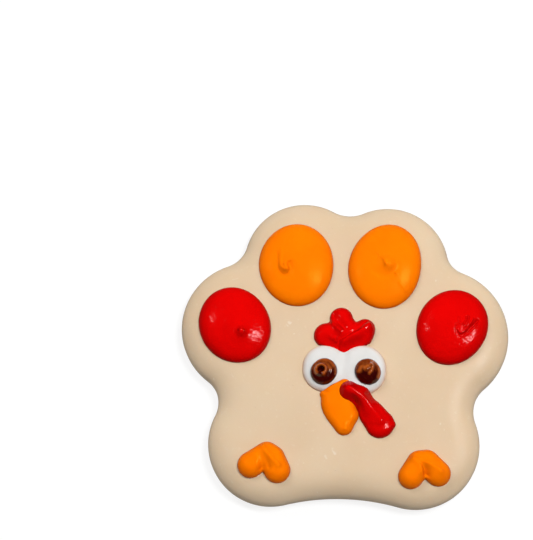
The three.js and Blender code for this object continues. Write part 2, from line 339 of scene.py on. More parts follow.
def edgeOffsets(piece):
    # the edge of a piece, evenly spaced along it, as seen from its middle
    middleX, middleY = piece["middle"]
    angles = np.linspace(0, fullTurn, edgeSearch["angles"])
    dx, dy = np.cos(angles), np.sin(angles)
    reaches = np.arange(0, edgeSearch["farthest"], edgeSearch["step"])
    depth = strokeDepth(piece, middleX + dx[:, None] * reaches, middleY + dy[:, None] * reaches)
    inside = reaches[len(reaches) - 1 - np.argmax((depth > 0)[:, ::-1], axis=1)]
    outside = inside + edgeSearch["step"]
    for _ in range(edgeSearch["halvings"]):
        half = (inside + outside) / 2
        within = strokeDepth(piece, middleX + dx * half, middleY + dy * half) > 0
        inside = np.where(within, half, inside)
        outside = np.where(within, outside, half)
    edge = np.stack([inside * dx, inside * dy], 1)
    lengths = np.concatenate([[0], np.cumsum(np.hypot(*np.diff(edge, axis=0).T))])
    wanted = lengths[-1] * np.arange(icing["pointsAround"]) / icing["pointsAround"]
    return np.stack([np.interp(wanted, lengths, edge[:, i]) for i in (0, 1)], 1)


def topOver(piece, seatAt, levelAt):
    # the rim lies on seatAt; further in the top swells up from the smoother levelAt
    def topAt(x, y):
        seat = seatAt(x, y) - icing["sink"]
        if levelAt is not None:
            inward = smoothStep(strokeDepth(piece, x, y) / piece["inward"])
            seat = seat + inward * (levelAt(x, y) - seat)
        return seat + np.maximum(strokeRise(piece, x, y), 0.0)

    return topAt


def makePiped(name, piece, seatAt, levelAt):
    middle = np.array(piece["middle"])
    offsets = edgeOffsets(piece)
    count = icing["topRings"]

    def sunkSeat(x, y):
        return seatAt(x, y) - icing["sink"]

    topAt = topOver(piece, seatAt, levelAt)
    layers = [(share, sunkSeat) for share in (*icing["undersideShares"], 1.0)]
    layers += [(math.cos(0.5 * math.pi * step / count), topAt) for step in range(1, count)]
    rings = []
    for share, heightAt in layers:
        ring = middle + offsets * share
        rings.append(np.column_stack([ring, heightAt(*ring.T)]))
    here = np.array([middle]).T
    seat, top = float(sunkSeat(*here)[0]), float(topAt(*here)[0])
    return shellObject(name, rings, (*middle, seat), (*middle, top))


# The eye whites: two round pools of icing run together

eyeWhites = {
    "strokes": [
        (-5.8, -5.7, 6.9, -5.9, -6.4, 6.8),
        (5.3, -6.2, 7.4, 5.3, -6.8, 7.4),
    ],
    "melt": 2.5, "middle": (-0.2, -5.0), "height": 2.2, "shoulder": 3.6,
    "folds": [(((0.1, -0.5), (0.2, -9.5)), 1.7, 1.7, -0.3)],
    "waver": 0.03, "seed": 21,
}

# How deep icing piped over the edge of another piece sinks into it, and how softly it gets there
bedding = {"whites": (0.4, 0.8), "beak": (0.6, 1.0)}


def whitesTop(x, y):
    return coatingTop(x, y) + strokeRise(eyeWhites, x, y)


def onWhites(x, y):
    sink, softness = bedding["whites"]
    return softMax(coatingTop(x, y), whitesTop(x, y) - sink, softness)


def levelAlong(descent):
    # a piece that starts on other icing comes down to the coating on one smooth line
    start, end, height = descent

    def levelAt(x, y):
        return coatingTop(x, y) + height * (1 - smoothStep(alongLine(x, y, start, end)[0]))

    return levelAt


def drapedOver(seatAt, reach, count=12):
    # thick icing bridges the steps under it: the mean of the seat around each point
    turns = fullTurn * np.arange(count) / count

    def levelAt(x, y):
        total = seatAt(x, y)
        for part in (0.5, 1.0):
            for turn in turns:
                total = total + seatAt(x + part * reach * math.cos(turn), y + part * reach * math.sin(turn))
        return total / (1 + 2 * count)

    return levelAt


# The beak: one plump pull of orange icing over the lower edge of the whites

beak = {
    "strokes": [
        (-1.7, -16.6, 5.4, 1.0, -20.4, 3.3),
        (-2.8, -20.1, 2.9, -0.2, -23.7, 2.8),
        (-3.3, -13.8, 2.0, 0.0, -11.3, 1.9),
        (-3.2, -15.2, 2.4, -6.7, -13.8, 0.7),
    ],
    "melt": 1.6, "calm": 1.2, "middle": (-2.4, -16.9), "height": 2.8, "shoulder": 4.6,
    "folds": [
        (((3.0, -18.6), (2.3, -21.2), (1.6, -22.8)), 0.9, 1.3, (0.08, 0.20)),
        (((0.2, -21.9), (0.0, -23.3), (0.1, -24.7)), 0.6, 0.8, (0.05, 0.22)),
    ],
    "drape": 2.6, "inward": 2.4,
    "waver": 0.01, "seed": 22,
}

beakLevel = drapedOver(onWhites, beak["drape"])
beakTop = topOver(beak, onWhites, beakLevel)


def onBeak(x, y):
    sink, softness = bedding["beak"]
    return softMax(onWhites(x, y), beakTop(x, y) - sink, softness)


# The wattle: a thick red stroke that starts on the beak and ends in a bulb with one corner

wattle = {
    "strokes": [
        (1.4, -13.2, 3.05, 4.9, -14.8, 2.75),
        (4.9, -14.8, 2.75, 8.5, -20.2, 3.65),
        (8.5, -20.2, 3.65, 10.6, -22.9, 4.4),
        (10.6, -22.9, 3.5, 14.6, -23.2, 0.4),
    ],
    "melt": 1.6, "calm": 0.8, "middle": (5.8, -17.2), "height": 2.45, "shoulder": 3.9,
    "folds": [
        (
            (
                (0.6, -12.6), (2.2, -12.9), (4.2, -14.5), (6.0, -15.8), (7.3, -17.2), (8.4, -18.8),
                (10.9, -22.0),
            ),
            0.9, 1.4, (0.28, 0.46),
        ),
        (((2.6, -16.2), (4.8, -18.2), (6.2, -21.1)), 1.3, 1.3, (-0.05, -0.30)),
        (((7.8, -23.6), (10.7, -24.1), (13.4, -23.0), (15.0, -21.9)), 0.8, 1.0, -0.17),
    ],
    "descent": ((-0.6, -11.2), (9.0, -21.2), 3.2), "inward": 2.5,
    "waver": 0.01, "seed": 23,
}

# The comb: three fat teardrops pulled down to one point, the right one over the others

comb = {
    "strokes": [
        (-5.4, 4.2, 3.9, -1.3, 0.6, 1.7),
        (-0.9, 9.4, 3.55, -0.3, 5.2, 5.4),
        (5.2, 4.2, 3.6, 0.6, -0.7, 1.6),
        (6.3, 6.2, 3.15, 0.9, 2.1, 2.6),
    ],
    "melt": 1.12, "calm": 0.6, "middle": (0.2, 5.0), "height": 2.8, "shoulder": 3.9,
    "tucked": (eyeWhites, 1.25, 0.42),
    "folds": [
        # the left lobe's lip and the hollow beyond it
        (((-4.4, 8.9), (-3.4, 7.5), (-2.6, 6.6), (-1.8, 5.5), (-1.2, 4.7)), 0.45, 0.9, (0.55, 0.35)),
        (((-3.1, 10.0), (-2.0, 8.3), (-0.9, 6.9), (-0.1, 6.2)), 1.4, 0.7, (-0.5, -0.65)),
        # the crease and the crest of the right lobe
        (((8.1, 9.0), (6.1, 7.5), (4.2, 5.9), (1.7, 4.4), (-0.6, 2.9)), 0.45, 0.45, (-0.20, -0.30)),
        (((8.1, 8.0), (7.2, 7.0), (5.2, 5.2), (2.8, 3.8), (0.1, 2.3)), 1.7, 0.8, (0.60, 0.75)),
        (((2.4, 6.3), (3.4, 6.9)), 0.9, 0.9, -0.15),
        (((-1.1, 4.3), (-1.6, 2.4), (-1.9, 0.7), (-1.8, -0.5)), 0.5, 0.7, (-0.35, -0.30)),
        (((-1.7, 6.3), (-1.2, 5.8)), 0.9, 0.9, 0.35),
        (((-2.7, 2.8), (-2.5, 2.1)), 0.6, 0.6, 0.30),
        (((-4.3, 3.5), (-3.3, 2.6)), 0.7, 0.7, 0.20),
    ],
    "waver": 0.015, "seed": 24,
}

# The feet: two strokes each, with the second one lying over the first

footLeft = {
    "strokes": [
        (-28.15, -35.4, 3.98, -23.3, -32.1, 3.74),
        (-20.2, -36.9, 4.0, -21.8, -33.4, 4.0),
    ],
    "melt": 0.6, "calm": 0.8, "middle": (-23.8, -33.4), "height": 3.3, "shoulder": 4.0,
    "folds": [
        (((-24.6, -38.2), (-24.6, -35.6), (-24.9, -33.4), (-24.9, -31.8)), 1.0, 1.0, (-1.1, -0.10)),
        (
            ((-24.6, -29.6), (-24.3, -30.0), (-23.1, -31.9), (-21.7, -33.7), (-19.7, -35.7)),
            0.7, 1.1, (0.42, 0.66),
        ),
        (((-24.0, -32.6), (-23.3, -34.3), (-22.6, -36.4)), 0.9, 0.9, (-0.10, -0.45)),
        (((-21.9, -30.7), (-20.0, -32.8)), 0.7, 0.7, -0.14),
    ],
    "waver": 0.01, "seed": 25,
}
footRight = {
    "strokes": [
        (19.75, -38.7, 3.8, 22.5, -34.95, 4.05),
        (27.85, -37.8, 3.88, 24.5, -34.7, 4.0),
    ],
    "melt": 0.5, "calm": 0.7, "middle": (23.6, -35.0), "height": 3.3, "shoulder": 4.1,
    "folds": [
        (((20.4, -33.7), (21.4, -34.6), (22.5, -35.8), (22.8, -37.6)), 0.5, 1.4, (0.12, 0.30)),
        (((21.9, -34.5), (23.1, -35.6), (23.8, -36.9), (24.0, -38.4)), 1.4, 0.45, (-0.30, -1.1)),
        (((20.6, -33.6), (23.2, -34.6), (26.0, -35.6), (28.7, -37.4)), 0.7, 1.2, (0.42, 0.55)),
        (((22.6, -34.1), (25.2, -33.9), (27.9, -34.1)), 0.7, 0.6, -0.13),
    ],
    "waver": 0.01, "seed": 26,
}

# The pupils: brown beads on the whites, one left with an open ring and one with a fallen peak. A
# ring is x, y, radius, width, height; a streak of painted light, along a lit ridge or edge, is its path,
# width and amount.

pupilLeft = {
    "strokes": [(-6.0, -7.1, 3.85, -6.4, -7.5, 3.9)],
    "melt": 1.0, "middle": (-6.2, -7.3), "height": 2.9, "shoulder": 4.0, "roundness": 1.8,
    "rings": [
        (-7.0, -7.1, 0.0, 0.95, -1.7),
        (-7.1, -7.2, 1.45, 0.50, 0.80),
        (-6.9, -7.2, 2.40, 0.40, -0.22),
    ],
    "folds": [
        (((-7.35, -7.95), (-7.15, -8.0)), 0.55, 0.55, 0.95),
        (((-6.7, -7.75), (-6.6, -7.7)), 0.4, 0.4, 0.6),
    ],
    "pale": [
        (
            (
                (-8.4, -8.2), (-8.7, -7.2), (-8.1, -6.0), (-7.0, -5.7), (-5.9, -6.3), (-5.6, -7.4),
                (-6.2, -8.4),
            ),
            0.55, 1.0,
        ),
        (((-8.6, -4.4), (-6.8, -3.9), (-4.4, -4.5), (-3.2, -5.9)), 0.7, 0.75),
        (((-4.9, -5.6), (-4.3, -6.9)), 0.7, 0.6),
        (((-2.7, -6.6), (-2.6, -8.2)), 0.45, 0.6),
    ],
    "hole": (-6.95, -7.05, 0.7, 0.5),        # x, y, radius that stays dark, kept free of painted light, and the width of its edge
}
pupilRight = {
    "strokes": [(6.9, -7.2, 3.85, 7.2, -7.6, 3.85)],
    "melt": 1.0, "middle": (7.1, -7.4), "height": 2.9, "shoulder": 4.0, "roundness": 1.8,
    "folds": [
        (((4.6, -7.3), (5.2, -6.3), (6.3, -6.5), (7.2, -6.1), (8.1, -5.6)), 0.9, 0.7, (0.15, 0.65)),
        (((8.1, -5.6), (8.5, -6.2), (8.2, -7.5), (7.4, -8.5)), 0.4, 0.5, (0.70, 0.25)),
        (((7.3, -6.9), (7.6, -6.3)), 0.35, 0.35, -0.25),
        (((8.7, -4.8), (9.8, -5.3)), 0.35, 0.4, 0.28),
        (((5.2, -8.4), (6.3, -8.9), (7.2, -8.9)), 0.5, 0.6, -0.22),
    ],
    "pale": [
        (((4.5, -7.4), (5.2, -6.4), (6.3, -6.6), (7.2, -6.2), (8.1, -5.7)), 0.75, 1.0),
        (((8.1, -5.7), (8.5, -6.3), (8.2, -7.5), (7.4, -8.5)), 0.45, 0.9),
        (((8.3, -4.3), (9.6, -5.0), (10.4, -6.3), (10.6, -7.8), (10.3, -9.2)), 0.6, 0.75),
    ],
}
litUphill = {"amount": 0.42, "from": -1.4, "over": 3.6}   # painted light: beads are paler on their side towards the toes, as if lit from there

pipedPieces = {                     # by the node that each replaces
    "eye_whites": (eyeWhites, coatingTop, None, "white_icing"),
    "pupil_left": (pupilLeft, whitesTop, None, "brown_icing"),
    "pupil_right": (pupilRight, whitesTop, None, "brown_icing"),
    "beak": (beak, onWhites, beakLevel, "orange_icing"),
    "wattle": (wattle, onBeak, levelAlong(wattle["descent"]), "red_icing"),
    "comb": (comb, coatingTop, None, "red_icing"),
    "foot_left": (footLeft, coatingTop, None, "orange_icing"),
    "foot_right": (footRight, coatingTop, None, "orange_icing"),
}
pieces = {}
for node, (piece, seatAt, levelAt, slotName) in pipedPieces.items():
    pieces[node] = (makePiped("icing_" + node, piece, seatAt, levelAt), slotName)
print("piped icing made:", len(pieces), "pieces")


def pointsOf(piece):
    # the points of a piece in millimetres, one row each
    places = np.zeros(len(piece.data.vertices) * 3)
    piece.data.vertices.foreach_get("co", places)
    return places.reshape(-1, 3) / mm


def paintLitBeads(piece, shape):
    # painted light: the brown is paler along the lit ridges and on the side that faces up the cookie
    x, y, _ = pointsOf(piece).T
    uphill = (y - shape["middle"][1] - litUphill["from"]) / litUphill["over"]
    pale = litUphill["amount"] * smoothStep(uphill)
    for path, width, amount in shape["pale"]:
        pale = np.maximum(pale, foldBump(x, y, path, width, width, amount))
    if "hole" in shape:
        holeX, holeY, radius, edge = shape["hole"]
        pale = pale * smoothStep((np.hypot(x - holeX, y - holeY) - radius) / edge)
    layer = piece.data.attributes.new("pale", "FLOAT", "POINT")
    layer.data.foreach_set("value", pale)


paintLitBeads(pieces["pupil_left"][0], pupilLeft)
paintLitBeads(pieces["pupil_right"][0], pupilRight)


# Node trees are wired with small helpers

def newTree(name, inputs):
    # an empty tree, and the identifiers of its named inputs
    tree = bpy.data.node_groups.new(name, "GeometryNodeTree")
    sockets = {}
    for kind, labels in inputs.items():
        for label in labels:
            socket = tree.interface.new_socket(name=label, in_out="INPUT", socket_type="NodeSocket" + kind)
            sockets[label] = socket.identifier
    tree.interface.new_socket(name="Geometry", in_out="OUTPUT", socket_type="NodeSocketGeometry")
    return tree, sockets


def fill(tree, node, values):
    # what comes from another node is linked, anything else is set on the socket
    for key, value in values.items():
        if isinstance(value, bpy.types.NodeSocket):
            tree.links.new(value, node.inputs[key])
        else:
            node.inputs[key].default_value = value


def addNode(tree, kind, values, **settings):
    node = tree.nodes.new(kind)
    for key, value in settings.items():
        setattr(node, key, value)
    fill(tree, node, values)
    return node


def calc(tree, operation, a, b=0.0):
    return addNode(tree, "ShaderNodeMath", {0: a, 1: b}, operation=operation).outputs[0]


def splitVector(tree, vector):
    return addNode(tree, "ShaderNodeSeparateXYZ", {0: vector}).outputs


def joinVector(tree, x, y, z):
    return addNode(tree, "ShaderNodeCombineXYZ", {0: x, 1: y, 2: z}).outputs[0]


def endTree(tree, geometry, material):
    smooth = addNode(tree, "GeometryNodeSetShadeSmooth", {"Geometry": geometry})
    real = addNode(tree, "GeometryNodeRealizeInstances", {"Geometry": smooth.outputs[0]})
    painted = addNode(tree, "GeometryNodeSetMaterial", {"Geometry": real.outputs[0], "Material": material})
    addNode(tree, "NodeGroupOutput", {0: painted.outputs[0]})


def makeByRule(name, tree, sockets, values):
    # the tree's result as a plain mesh, with the modifier gone
    owner = addObject(name + "_rule", bpy.data.meshes.new(name + "_rule"))
    rule = owner.modifiers.new("rule", "NODES")
    rule.node_group = tree
    for label, value in values.items():
        rule[sockets[label]] = value
    bpy.context.view_layer.update()
    graph = bpy.context.evaluated_depsgraph_get()
    mesh = bpy.data.meshes.new_from_object(owner.evaluated_get(graph))
    mesh.name = name
    bpy.data.objects.remove(owner)
    return addObject(name, mesh)


# The toe dots: one rule makes the oval dome, laid on the coating that a ray finds under it. The
# folds and the faint swirl (x, y, depth) are what the piping tip left on each as it lifted.

toeDots = {
    "dot_left": {
        "slot": "red_icing", "x": -33.5, "y": 7.6,
        "across": 10.8, "along": 12.2, "turn": 30, "egg": 0.004, "eggTurn": 91,
        "swirl": (-31.1, 4.6, 0.012),
        "folds": [
            (((-31.2, 4.8), (-31.0, 4.5)), 1.2, 1.2, 0.85),
            (((-31.0, 4.4), (-30.9, 4.1)), 2.3, 2.3, 0.60),
            (((-31.9, 5.1), (-31.6, 5.1)), 0.32, 0.32, 0.30),
            (((-30.6, 4.9), (-30.4, 4.7)), 0.30, 0.30, 0.30),
            (((-34.2, 10.0), (-35.4, 8.6), (-35.3, 6.6)), 1.0, 1.0, 0.10),
        ],
    },
    "dot_upper_left": {
        "slot": "orange_icing", "x": -14.7, "y": 26.6,
        "across": 11.5, "along": 13.1, "turn": 4, "egg": -0.009, "eggTurn": -9,
        "swirl": (-17.8, 25.3, 0.006),
        "folds": [
            (
                (
                    (-20.6, 29.6), (-20.5, 26.1), (-20.0, 24.0), (-18.5, 22.6), (-17.0, 23.0),
                    (-16.5, 24.5), (-16.9, 26.2),
                ),
                0.5, 1.0, (-0.16, -0.45),
            ),
            (((-19.2, 30.4), (-19.4, 27.4), (-19.3, 25.4), (-18.4, 24.2)), 0.5, 0.6, (0.16, 0.48)),
            (((-18.1, 25.6), (-17.8, 25.0), (-17.5, 24.4)), 0.8, 0.8, 0.75),
            (((-16.9, 26.9), (-15.6, 28.0)), 0.6, 0.5, (0.30, 0.08)),
        ],
    },
    "dot_upper_right": {
        "slot": "orange_icing", "x": 12.6, "y": 26.0,
        "across": 11.1, "along": 13.6, "turn": -13, "egg": -0.014, "eggTurn": 1,
        "swirl": (13.8, 25.6, 0.006),
        "folds": [
            (((13.2, 26.4), (13.8, 25.8)), 1.9, 1.9, 1.0),
            (((10.4, 29.4), (11.0, 28.4), (12.1, 27.2), (12.7, 25.6)), 0.5, 0.5, (0.18, 0.26)),
            (((15.6, 23.1), (15.8, 22.9)), 0.4, 0.4, 0.25),
            (((17.0, 20.2), (18.0, 18.9), (18.8, 17.9)), 0.5, 0.5, 0.12),
            (
                ((15.6, 26.6), (15.9, 24.8), (14.6, 22.8), (12.5, 22.3), (10.6, 22.7), (9.0, 23.6)),
                1.0, 1.4, (-0.22, -0.14),
            ),
        ],
    },
    "dot_right": {
        "slot": "red_icing", "x": 32.8, "y": 6.9,
        "across": 10.6, "along": 12.1, "turn": -30, "egg": 0.007, "eggTurn": 13,
        "swirl": (30.6, 6.6, 0.015),
        "folds": [
            (
                ((33.7, 6.2), (33.8, 4.3), (34.6, 3.3), (35.4, 3.4), (36.5, 4.2), (38.9, 6.4), (40.3, 8.0)),
                0.7, 0.32, (-0.35, -0.70),
            ),
            (((35.2, 3.0), (36.3, 3.6), (38.0, 5.1), (40.0, 7.2)), 0.22, 0.45, (0.18, 0.28)),
            (((36.1, -0.4), (38.1, 1.0), (39.9, 3.2), (40.5, 6.0)), 1.3, 1.3, 0.10),
            (((34.2, 5.2), (34.7, 4.5), (35.3, 4.3), (36.2, 4.8), (36.7, 5.4)), 0.28, 0.28, 0.26),
            (((36.1, 5.9), (36.9, 7.0), (37.6, 8.7), (37.5, 9.5)), 0.24, 0.28, 0.28),
            (((36.0, 6.7), (36.7, 8.1), (37.0, 9.3)), 0.22, 0.22, -0.28),
            (((38.0, 7.0), (38.9, 8.8)), 0.32, 0.32, 0.30),
            (((34.6, 8.8), (34.8, 7.4), (35.5, 7.0)), 0.38, 0.38, 0.24),
        ],
    },
}
dotShape = {
    "height": 3.6, "roundness": 2.2,
    "cone": 0.9,                     # how far the middle rises to a soft point
    "spokes": 220, "rings": 150, "undersideShare": 0.16,
    "rayFrom": 50 * mm, "weld": 0.002 * mm,
}
tipMarks = {
    "from": 0.8, "over": 1.2,        # they come in with the height above the coating
    "swirlLength": 2.3,              # from one faint ring round a tip to the next
    "unevenness": 0.4, "unevenLength": 9.0, "seed": 5,
}


def dotTree():
    tree, sockets = newTree("toeDot", {
        "Object": ("Coating",),
        "Material": ("Icing",),
        "Float": (
            "Middle X", "Middle Y", "Across", "Along", "Turn", "Egg", "Egg Turn", "Height", "Roundness",
            "Cone", "Sink", "Underside Share",
        ),
        "Int": ("Spokes", "Rings"),
    })
    given = tree.nodes.new("NodeGroupInput").outputs
    add, subtract, times, over, power, atLeast, atMost, cosine, sine, unsigned = (
        partial(calc, tree, operation)
        for operation in (
            "ADD", "SUBTRACT", "MULTIPLY", "DIVIDE", "POWER", "MAXIMUM", "MINIMUM", "COSINE", "SINE",
            "ABSOLUTE",
        )
    )
    grid = addNode(tree, "GeometryNodeMeshGrid", {
        "Size X": 1.0, "Size Y": 1.0, "Vertices X": add(given["Spokes"], 1.0), "Vertices Y": given["Rings"],
    })
    spot = tree.nodes.new("GeometryNodeInputPosition").outputs[0]
    spread = splitVector(tree, spot)
    angle = times(add(spread[0], 0.5), fullTurn)
    climb = add(spread[1], 0.5)
    # the share of the way out: up to 1 along the underside, and back to 0 over the top
    onTop = calc(tree, "GREATER_THAN", climb, given["Underside Share"])
    below = over(climb, given["Underside Share"])
    overTop = over(subtract(climb, given["Underside Share"]), subtract(1.0, given["Underside Share"]))
    above = cosine(times(overTop, 0.5 * math.pi))
    mixed = add(times(above, onTop), times(below, subtract(1.0, onTop)))
    share = atMost(atLeast(mixed, 0.0), 1.0)
    # the oval's reach at this angle, made a little egg-shaped
    turned = subtract(angle, given["Turn"])
    acrossPart = power(unsigned(over(cosine(turned), given["Across"])), 2.0)
    alongPart = power(unsigned(over(sine(turned), given["Along"])), 2.0)
    oval = over(1.0, calc(tree, "SQRT", add(acrossPart, alongPart)))
    egg = add(times(cosine(times(subtract(angle, given["Egg Turn"]), 3.0)), given["Egg"]), 1.0)
    reach = times(times(oval, egg), share)
    placeX = add(times(reach, cosine(angle)), given["Middle X"])
    placeY = add(times(reach, sine(angle)), given["Middle Y"])
    # the dome over it
    bulk = atLeast(subtract(1.0, power(share, given["Roundness"])), 0.0)
    dome = times(power(bulk, over(1.0, given["Roundness"])), given["Height"])
    cone = times(subtract(1.0, share), given["Cone"])
    rise = times(add(dome, cone), onTop)
    # the coating under it
    coatingMesh = addNode(tree, "GeometryNodeObjectInfo", {"Object": given["Coating"]})
    ray = addNode(tree, "GeometryNodeRaycast", {
        "Target Geometry": coatingMesh.outputs["Geometry"],
        "Source Position": joinVector(tree, placeX, placeY, dotShape["rayFrom"]),
        "Ray Direction": (0.0, 0.0, -1.0),
        "Ray Length": 2 * dotShape["rayFrom"],
    })
    seat = splitVector(tree, ray.outputs["Hit Position"])[2]
    place = joinVector(tree, placeX, placeY, add(subtract(seat, given["Sink"]), rise))
    moved = addNode(tree, "GeometryNodeSetPosition", {"Geometry": grid.outputs["Mesh"], "Position": place})
    closed = addNode(tree, "GeometryNodeMergeByDistance", {
        "Geometry": moved.outputs[0], "Distance": dotShape["weld"],
    })
    endTree(tree, closed.outputs[0], given["Icing"])
    return tree, sockets


def faceOutwards(piece):
    work = bmesh.new()
    work.from_mesh(piece.data)
    bmesh.ops.recalc_face_normals(work, faces=work.faces)
    if work.calc_volume(signed=True) < 0:
        bmesh.ops.reverse_faces(work, faces=work.faces)
    work.to_mesh(piece.data)
    work.free()


def addTip(piece, dot):
    places = pointsOf(piece)
    x, y = places[:, 0], places[:, 1]
    onTop = smoothStep((places[:, 2] - coatingTop(x, y) - tipMarks["from"]) / tipMarks["over"])
    for path, leftWidth, rightWidth, height in dot["folds"]:
        places[:, 2] += foldBump(x, y, path, leftWidth, rightWidth, height) * onTop
    tipX, tipY, depth = dot["swirl"]
    outward = np.hypot(x - tipX, y - tipY) / tipMarks["swirlLength"]
    turns = outward + np.arctan2(y - tipY, x - tipX) / fullTurn
    waves = softWaves(x, y, tipMarks["unevenLength"], tipMarks["seed"])
    strength = 1 - tipMarks["unevenness"] + tipMarks["unevenness"] * waves
    places[:, 2] += depth * np.cos(fullTurn * turns) * strength * onTop
    piece.data.vertices.foreach_set("co", (places * mm).ravel())
    piece.data.update()


# Materials

def newMaterial(name):
    material = bpy.data.materials.new(name)
    material.use_nodes = True
    tree = material.node_tree
    tree.nodes.clear()
    shader = tree.nodes.new("ShaderNodeBsdfPrincipled")
    addNode(tree, "ShaderNodeOutputMaterial", {"Surface": shader.outputs[0]})
    objectSpace = tree.nodes.new("ShaderNodeTexCoord").outputs["Object"]
    return material, tree, shader, objectSpace


def noise(tree, space, scale, detail=3.0, roughness=0.5, distortion=0.0):
    return addNode(tree, "ShaderNodeTexNoise", {
        "Vector": space, "Scale": scale, "Detail": detail, "Roughness": roughness,
        "Distortion": distortion,
    }).outputs["Fac"]


def ramp(tree, factor, low, high, lowValue, highValue):
    return addNode(tree, "ShaderNodeMapRange", {
        "Value": factor, "From Min": low, "From Max": high, "To Min": lowValue, "To Max": highValue,
    }).outputs[0]


def uneven(tree, space, scale, detail, values, distortion=0.0):
    # noise, which lies between about 0.3 and 0.7, run from the first value to the last
    return ramp(tree, noise(tree, space, scale, detail, distortion=distortion), 0.3, 0.7, *values)


def blendColours(tree, factor, first, second):
    values = {0: factor, 6: first, 7: second}
    return addNode(tree, "ShaderNodeMix", values, data_type="RGBA").outputs[2]


def bump(tree, height, distance, strength, under=None):
    values = {"Height": height, "Distance": distance, "Strength": strength}
    if under is not None:
        values["Normal"] = under
    return addNode(tree, "ShaderNodeBump", values).outputs[0]


def facingUp(tree):
    # 1 where the surface is level and 0 where it is upright
    facing = tree.nodes.new("ShaderNodeTexCoord").outputs["Normal"]
    return splitVector(tree, facing)[2]


coatingLook = {                     # the scales of noise are per metre
    "light": (0.705, 0.542, 0.368, 1.0),
    "warm": (0.683, 0.512, 0.339, 1.0),
    "mottle": (0.35, 0.65), "mottleScale": 38.0,
    "pale": (0.82, 0.74, 0.63, 1.0),
    "spots": [                      # scale, detail, distortion, from, to, amount
        (900.0, 2.0, 0.0, 0.62, 0.80, 0.22),      # dust
        (330.0, 1.0, 0.8, 0.765, 0.81, 0.5),      # flecks
    ],
    # painted shade: the coating's steep sides are darkened as if turned from the light
    "sideShade": (0.42, 0.335, 0.245, 1.0),
    "sideShadeBelow": (0.05, 0.55), "sideShadeAmount": 0.75,
    "lowestBand": (0.42, 0.25, 0.13, 1.0),      # browner and darker in a ragged band at the very bottom
    "lowestBandBelow": (0.15 * mm, 0.75 * mm), "lowestBandAmount": 0.75,
    "ragged": 0.25 * mm, "raggedScale": 160.0,
    "roughness": (0.40, 0.52), "roughScale": 130.0,
    "specular": 0.22,
    "subsurface": 0.18, "tint": (1.0, 0.62, 0.36), "subsurfaceReach": 1.6 * mm,
    "ripples": 0.10 * mm, "rippleScale": 210.0,
    "pores": 0.012 * mm, "poreScale": 1700.0,
}


def coatingMaterial():
    look = coatingLook
    material, tree, shader, space = newMaterial("cream_coating")
    mottle = ramp(tree, noise(tree, space, look["mottleScale"], 3.0, 0.5, 0.6), *look["mottle"], 0.0, 1.0)
    colour = blendColours(tree, mottle, look["light"], look["warm"])
    for scale, detail, distortion, low, high, amount in look["spots"]:
        spots = ramp(tree, noise(tree, space, scale, detail, 0.5, distortion), low, high, 0.0, amount)
        colour = blendColours(tree, spots, colour, look["pale"])
    # painted shade on the steep sides of the coating
    steep = ramp(tree, facingUp(tree), *look["sideShadeBelow"], look["sideShadeAmount"], 0.0)
    colour = blendColours(tree, steep, colour, look["sideShade"])
    # a ragged band at the very bottom is made browner and darker
    ragged = uneven(tree, space, look["raggedScale"], 3.0, (-look["ragged"], look["ragged"]))
    rim = calc(tree, "ADD", splitVector(tree, space)[2], ragged)
    lowestBand = ramp(tree, rim, *look["lowestBandBelow"], look["lowestBandAmount"], 0.0)
    ripples = bump(tree, noise(tree, space, look["rippleScale"], 4.0, 0.55), look["ripples"], 0.5)
    pores = bump(tree, noise(tree, space, look["poreScale"], 2.0), look["pores"], 0.6, ripples)
    fill(tree, shader, {
        "Base Color": blendColours(tree, lowestBand, colour, look["lowestBand"]),
        "Roughness": uneven(tree, space, look["roughScale"], 4.0, look["roughness"]),
        "Subsurface Weight": look["subsurface"],
        "Subsurface Radius": look["tint"],
        "Subsurface Scale": look["subsurfaceReach"],
        "Specular IOR Level": look["specular"],
        "Normal": pores,
    })
    return material


# The painted-shade colour is painted shade, laid on sides that face up less than its range, as if they
# turned from the light; grain is its height in mm and the scale of its noise; the pale colour is painted
# light, laid where the attribute of that name lies.

icingLooks = {
    "red_icing": {
        "colours": ((0.76, 0.0010, 0.0008, 1.0), (0.69, 0.0008, 0.0006, 1.0)),
        "roughness": (0.10, 0.16), "subsurface": 0.04, "tint": (1.0, 0.12, 0.08),
        "skin": 0.03, "grain": (0.05, 2000.0), "seedShift": 3.1, "specular": 0.10,
        "gloss": (1.0, 0.82, 0.80, 1.0), "deep": (0.38, 0.0005, 0.0004, 1.0), "deepBelow": (0.50, 0.98),
    },
    "orange_icing": {
        "colours": ((1.0, 0.207, 0.0005, 1.0), (1.0, 0.192, 0.0005, 1.0)),
        "roughness": (0.16, 0.24), "subsurface": 0.10, "tint": (1.0, 0.30, 0.08),
        "skin": 0.03, "grain": (0.02, 2000.0), "seedShift": 7.7, "specular": 0.08,
        "gloss": (1.0, 0.66, 0.06, 1.0), "deep": (0.58, 0.105, 0.0005, 1.0), "deepBelow": (0.20, 0.95),
    },
    "white_icing": {
        "colours": ((0.715, 0.712, 0.695, 1.0), (0.68, 0.672, 0.65, 1.0)),
        "roughness": (0.30, 0.40), "subsurface": 0.15, "tint": (1.0, 0.9, 0.8),
        "skin": 0.04, "grain": (0.006, 2000.0), "seedShift": 1.3, "specular": 0.12,
        "gloss": (1.0, 1.0, 1.0, 1.0), "deep": (0.70, 0.44, 0.30, 1.0), "deepBelow": (0.25, 0.90),
    },
    "brown_icing": {
        "colours": ((0.050, 0.0008, 0.0004, 1.0), (0.032, 0.0004, 0.0003, 1.0)),
        "roughness": (0.10, 0.18), "subsurface": 0.0, "tint": (1.0, 0.4, 0.2),
        "skin": 0.03, "grain": (0.008, 2000.0), "seedShift": 5.9, "specular": 0.34,
        "gloss": (1.0, 0.80, 0.70, 1.0), "pale": (0.39, 0.080, 0.010, 1.0),
    },
}
